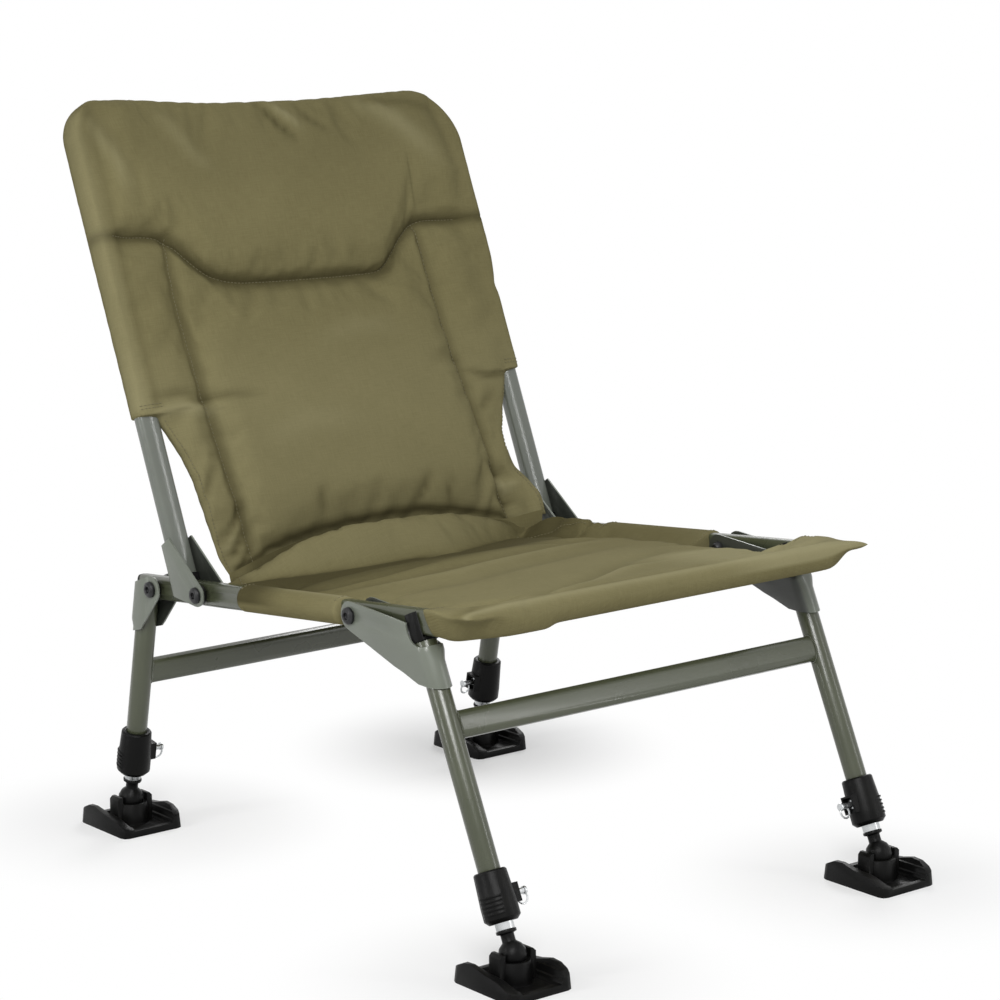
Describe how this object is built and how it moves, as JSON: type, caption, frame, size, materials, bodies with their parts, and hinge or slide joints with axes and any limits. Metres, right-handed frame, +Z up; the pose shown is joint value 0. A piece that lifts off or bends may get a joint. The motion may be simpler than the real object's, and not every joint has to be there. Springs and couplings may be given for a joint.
{
  "type": "carp fishing chair",
  "caption": "Low folding fishing chair with a padded fabric seat and reclined back on a tube frame, with extendable legs and tilting mud feet.",
  "frame": {"origin": "on the floor, at the middle of the chair's footprint and outline", "axes": "+X across the chair, towards the right as seen from in front; +Y towards the rear; +Z up"},
  "size_m": [0.555, 0.7818, 0.7613],
  "materials": {
    "frame_steel": "satin grey-green powder coat",
    "back_steel": "satin lighter grey-green coat",
    "bracket_steel": "satin grey-green powder coat",
    "black_plastic": "fine moulded grain",
    "black_bolt": "black zinc",
    "aluminium": "bright drawn",
    "olive_cloth": "olive polyester weave, padded"
  },
  "bodies": {
    "seat": {"seat_frame": "frame_steel", "seat_cover": "olive_cloth", "rail_end_cap_left": "black_plastic", "rail_end_cap_right": "black_plastic", "front_pivot_bolt_left": "black_bolt", "front_pivot_bolt_right": "black_bolt", "rear_pivot_bolt_left": "black_bolt", "rear_pivot_bolt_right": "black_bolt", "back_pivot_bolt_left": "black_bolt", "back_pivot_bolt_right": "black_bolt", "front_outer_spacer_left": "black_plastic", "front_outer_spacer_right": "black_plastic", "front_inner_spacer_left": "black_plastic", "front_inner_spacer_right": "black_plastic", "rear_outer_spacer_left": "black_plastic", "rear_outer_spacer_right": "black_plastic", "rear_inner_spacer_left": "black_plastic", "rear_inner_spacer_right": "black_plastic", "back_outer_spacer_left": "black_plastic", "back_outer_spacer_right": "black_plastic", "back_inner_spacer_left": "black_plastic", "back_inner_spacer_right": "black_plastic"},
    "back": {"back_frame": "back_steel", "back_cover": "olive_cloth", "back_bracket_left": "bracket_steel", "back_bracket_right": "bracket_steel", "back_saddle_left": "black_plastic", "back_saddle_right": "black_plastic"},
    "front_legs": {"front_crossbar": "frame_steel", "front_bracket_left": "bracket_steel", "front_bracket_right": "bracket_steel", "front_saddle_left": "black_plastic", "front_saddle_right": "black_plastic", "outer_leg_front_left": "frame_steel", "outer_leg_front_right": "frame_steel", "collar_front_left": "black_plastic", "collar_front_right": "black_plastic"},
    "rear_legs": {"rear_crossbar": "frame_steel", "rear_bracket_left": "bracket_steel", "rear_bracket_right": "bracket_steel", "outer_leg_rear_left": "frame_steel", "outer_leg_rear_right": "frame_steel", "collar_rear_left": "black_plastic", "collar_rear_right": "black_plastic"},
    "inner_front_left": {"inner_leg_front_left": "aluminium", "foot_stem_front_left": "black_plastic"},
    "foot_front_left": {"foot_front_left": "black_plastic"},
    "pin_front_left": {"lock_pin_front_left": "aluminium"},
    "inner_front_right": {"inner_leg_front_right": "aluminium", "foot_stem_front_right": "black_plastic"},
    "foot_front_right": {"foot_front_right": "black_plastic"},
    "pin_front_right": {"lock_pin_front_right": "aluminium"},
    "inner_rear_left": {"inner_leg_rear_left": "aluminium", "foot_stem_rear_left": "black_plastic"},
    "foot_rear_left": {"foot_rear_left": "black_plastic"},
    "pin_rear_left": {"lock_pin_rear_left": "aluminium"},
    "inner_rear_right": {"inner_leg_rear_right": "aluminium", "foot_stem_rear_right": "black_plastic"},
    "foot_rear_right": {"foot_rear_right": "black_plastic"},
    "pin_rear_right": {"lock_pin_rear_right": "aluminium"}
  },
  "joints": [
    {"name": "back_fold", "type": "hinge", "parent": "seat", "child": "back", "pos_m": [0, 0.14189, 0.28213], "axis": [1, 0, 0], "range_deg": [0, 103]},
    {"name": "front_legs_fold", "type": "hinge", "parent": "seat", "child": "front_legs", "pos_m": [0, -0.11945, 0.30982], "axis": [1, 0, 0], "range_deg": [0, 85]},
    {"name": "rear_legs_fold", "type": "hinge", "parent": "seat", "child": "rear_legs", "pos_m": [0, 0.22611, 0.2732], "axis": [-1, 0, 0], "range_deg": [0, 96]},
    {"name": "extend_front_left", "type": "slide", "parent": "front_legs", "child": "inner_front_left", "axis": [0, 0.4274, 0.9041], "range_m": [-0.12, 0]},
    {"name": "foot_tilt_front_left", "type": "hinge", "parent": "inner_front_left", "child": "foot_front_left", "pos_m": [-0.24, -0.34696, 0.03], "axis": [1, 0, 0], "range_deg": [-20, 20]},
    {"name": "pull_pin_front_left", "type": "slide", "parent": "front_legs", "child": "pin_front_left", "axis": [1, 0, 0], "range_m": [0, 0.007], "stiffness_N_per_m": 400, "springref_m": -0.002},
    {"name": "extend_front_right", "type": "slide", "parent": "front_legs", "child": "inner_front_right", "axis": [0, 0.4274, 0.9041], "range_m": [-0.12, 0]},
    {"name": "foot_tilt_front_right", "type": "hinge", "parent": "inner_front_right", "child": "foot_front_right", "pos_m": [0.24, -0.34696, 0.03], "axis": [1, 0, 0], "range_deg": [-20, 20]},
    {"name": "pull_pin_front_right", "type": "slide", "parent": "front_legs", "child": "pin_front_right", "axis": [-1, 0, 0], "range_m": [0, 0.007], "stiffness_N_per_m": 400, "springref_m": -0.002},
    {"name": "extend_rear_left", "type": "slide", "parent": "rear_legs", "child": "inner_rear_left", "axis": [0, -0.1846, 0.9828], "range_m": [-0.12, 0]},
    {"name": "foot_tilt_rear_left", "type": "hinge", "parent": "inner_rear_left", "child": "foot_rear_left", "pos_m": [-0.24, 0.29653, 0.03], "axis": [1, 0, 0], "range_deg": [-20, 20]},
    {"name": "pull_pin_rear_left", "type": "slide", "parent": "rear_legs", "child": "pin_rear_left", "axis": [1, 0, 0], "range_m": [0, 0.007], "stiffness_N_per_m": 400, "springref_m": -0.002},
    {"name": "extend_rear_right", "type": "slide", "parent": "rear_legs", "child": "inner_rear_right", "axis": [0, -0.1846, 0.9828], "range_m": [-0.12, 0]},
    {"name": "foot_tilt_rear_right", "type": "hinge", "parent": "inner_rear_right", "child": "foot_rear_right", "pos_m": [0.24, 0.29653, 0.03], "axis": [1, 0, 0], "range_deg": [-20, 20]},
    {"name": "pull_pin_rear_right", "type": "slide", "parent": "rear_legs", "child": "pin_rear_right", "axis": [-1, 0, 0], "range_m": [0, 0.007], "stiffness_N_per_m": 400, "springref_m": -0.002}
  ]
}
